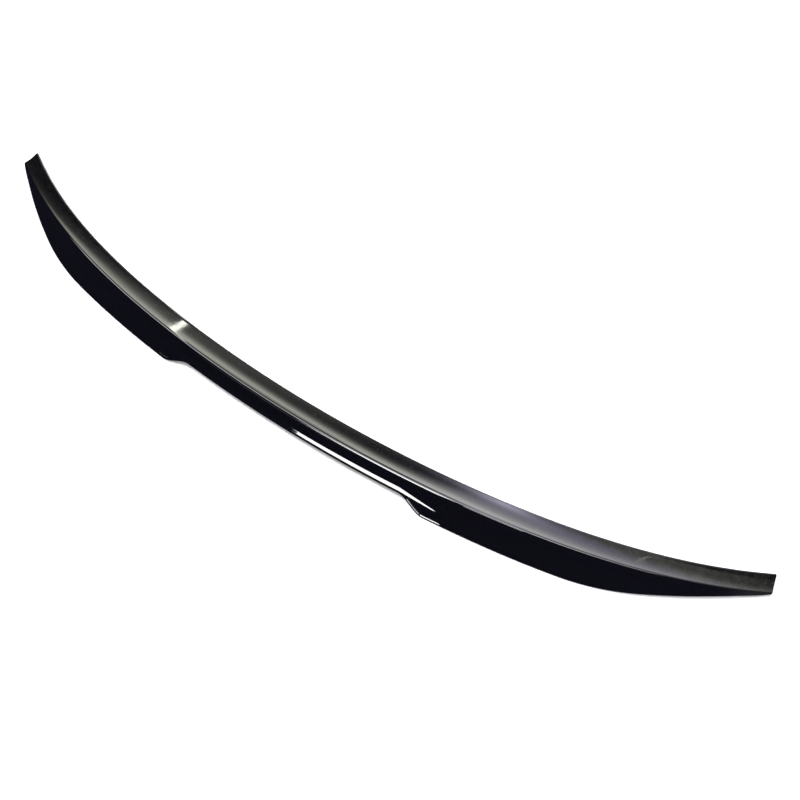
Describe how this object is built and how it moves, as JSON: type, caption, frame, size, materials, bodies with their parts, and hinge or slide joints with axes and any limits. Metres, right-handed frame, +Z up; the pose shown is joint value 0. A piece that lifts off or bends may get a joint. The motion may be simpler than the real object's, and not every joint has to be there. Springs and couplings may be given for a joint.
{
  "type": "car rear spoiler",
  "caption": "Slim boot lid lip spoiler: a crescent shell with a gently ramped top strip, a rounded trailing crease and a rear face that steps from a shallow recess down to tapering wings.",
  "frame": {"origin": "middle of the outer box at the surface that the shell rests on", "axes": "+X across the car from tip to tip, -Y towards the rear of the car, +Z up"},
  "size_m": [1.21, 0.1722, 0.0281],
  "materials": {
    "gloss_black_abs": "gloss black on the rear face, dusty satin sheen on the top strip"
  },
  "bodies": {
    "root": {"spoiler_shell": "gloss_black_abs"}
  },
  "joints": []
}
